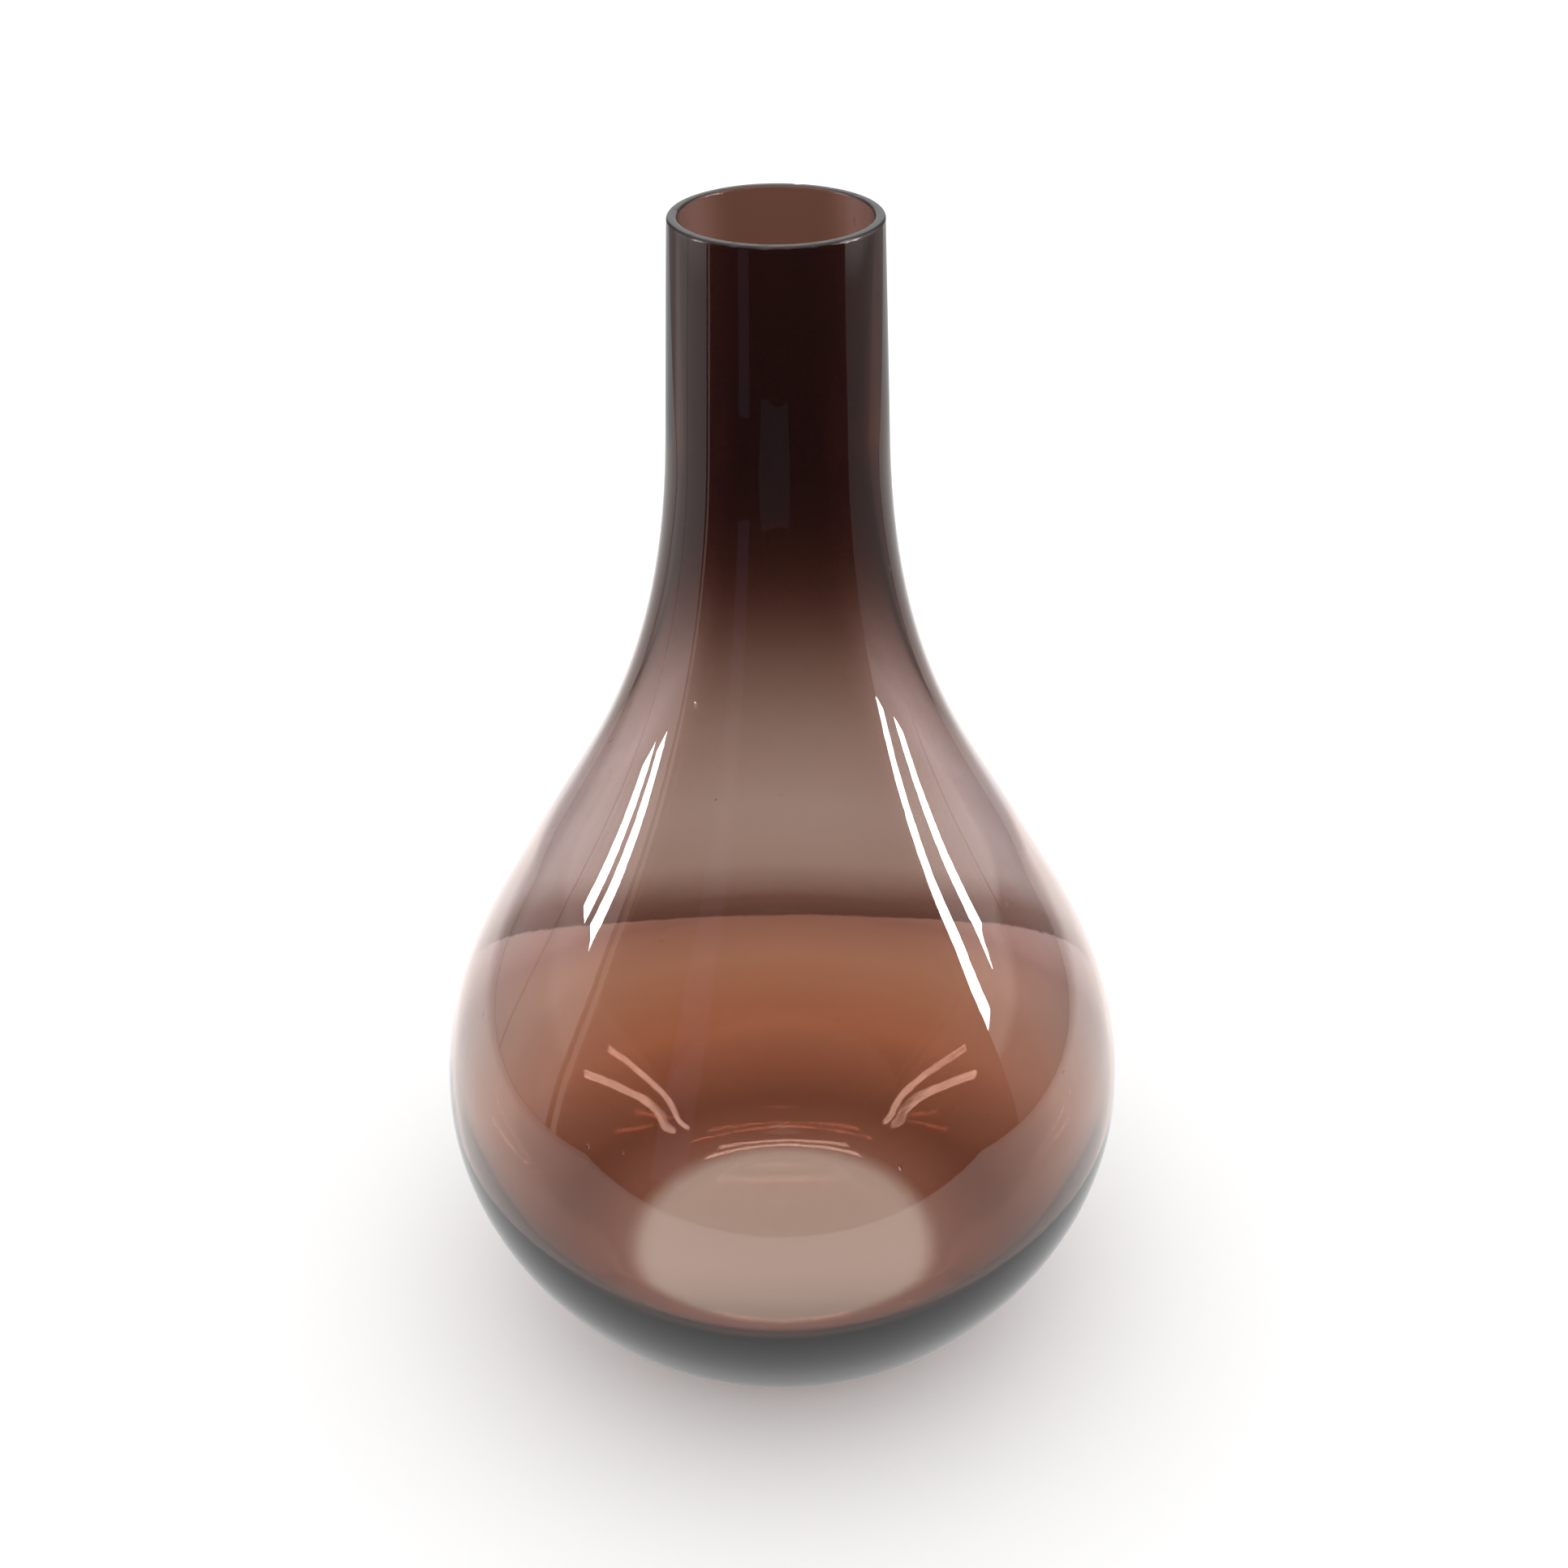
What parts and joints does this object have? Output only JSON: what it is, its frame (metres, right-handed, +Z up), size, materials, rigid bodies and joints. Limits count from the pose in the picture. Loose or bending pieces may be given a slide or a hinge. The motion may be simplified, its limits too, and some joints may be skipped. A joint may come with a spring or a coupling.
{
  "type": "glass bud vase",
  "caption": "Teardrop bud vase in smoke-brown glass with a straight open neck, a ground lip and a flat foot, for a single stem or a small posy.",
  "frame": {"origin": "middle of the foot's underside, on the surface the vase stands on", "axes": "+Z up along the vase's axis, out of the mouth; +X and +Y across the body, which is round"},
  "size_m": [0.131, 0.131, 0.22],
  "materials": {
    "smoke_glass": "clear smoke-brown glass tinted all through, fire-polished outside and inside, with a fine ground lip"
  },
  "bodies": {
    "root": {"vase": "smoke_glass"}
  },
  "joints": []
}
